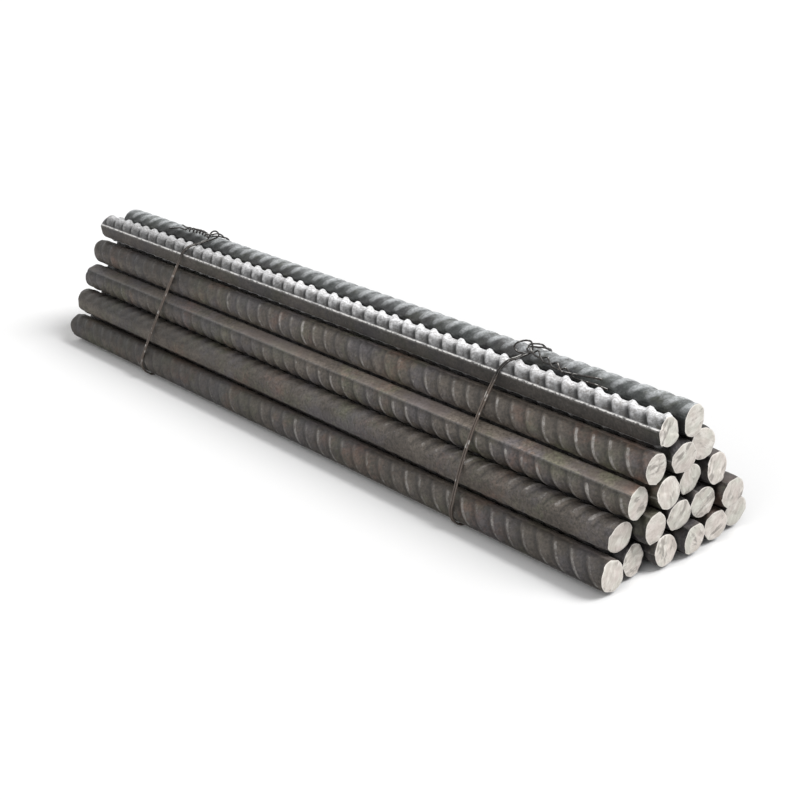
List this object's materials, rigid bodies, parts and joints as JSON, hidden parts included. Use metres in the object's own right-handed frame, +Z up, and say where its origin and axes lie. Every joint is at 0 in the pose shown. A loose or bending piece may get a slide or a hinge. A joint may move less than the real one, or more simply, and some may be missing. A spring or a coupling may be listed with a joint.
{
  "type": "rebar bundle",
  "caption": "Bundle of short deformed steel reinforcing bars in a close-packed stepped pile, held by twisted tie wires.",
  "frame": {"origin": "on the floor under the middle of the bundle", "axes": "+X along the bars towards the front end, +Y to the right as seen from the front end, +Z up"},
  "size_m": [0.812, 0.175, 0.1431],
  "materials": {
    "bar_steel": "hot-rolled mill scale, dark grey-brown with light rust",
    "wire_steel": "black annealed steel wire"
  },
  "bodies": {
    "root": {"bar_row1_1": "bar_steel", "bar_row1_2": "bar_steel", "bar_row1_3": "bar_steel", "bar_row1_4": "bar_steel", "bar_row1_5": "bar_steel", "bar_row1_6": "bar_steel", "bar_row2_1": "bar_steel", "bar_row2_2": "bar_steel", "bar_row2_3": "bar_steel", "bar_row2_4": "bar_steel", "bar_row2_5": "bar_steel", "bar_row3_1": "bar_steel", "bar_row3_2": "bar_steel", "bar_row3_3": "bar_steel", "bar_row3_4": "bar_steel", "bar_row4_1": "bar_steel", "bar_row4_2": "bar_steel", "bar_row4_3": "bar_steel", "bar_row5_1": "bar_steel", "bar_row5_2": "bar_steel", "tie_wire_front": "wire_steel", "tie_wire_back": "wire_steel"}
  },
  "joints": []
}
